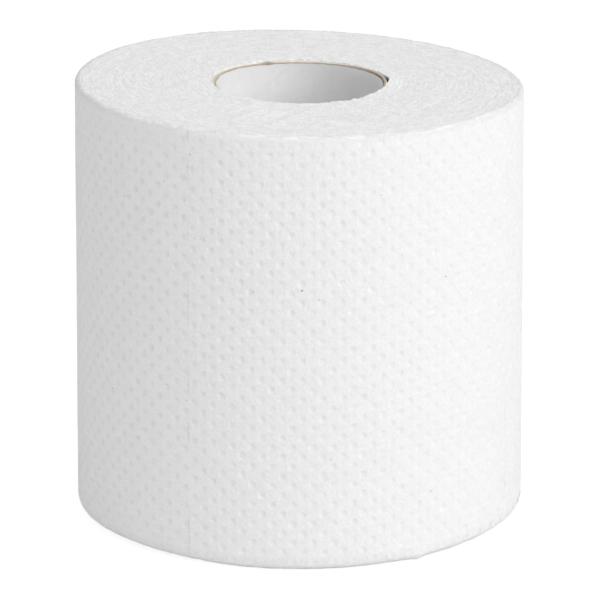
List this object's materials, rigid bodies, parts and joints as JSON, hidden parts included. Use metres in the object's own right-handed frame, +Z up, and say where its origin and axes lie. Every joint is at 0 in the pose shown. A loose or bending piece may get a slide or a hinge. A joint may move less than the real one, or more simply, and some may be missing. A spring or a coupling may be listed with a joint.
{
  "type": "toilet paper roll",
  "caption": "Roll of white embossed toilet tissue wound on a cardboard core, standing on its end, with a through bore in the core.",
  "frame": {"origin": "middle of the lower end of the roll, where it stands", "axes": "+Z up along the core; the upper end falls towards +X; -Y faces the viewer of the picture"},
  "size_m": [0.1076, 0.1078, 0.1064],
  "materials": {
    "tissue": "soft matt creped tissue with small round embossed dimples",
    "core_board": "matt spiral-wound board, kraft outside and at the cut ends, white liner in the bore"
  },
  "bodies": {
    "root": {"tissue_roll": "tissue", "core_tube": "core_board"}
  },
  "joints": []
}
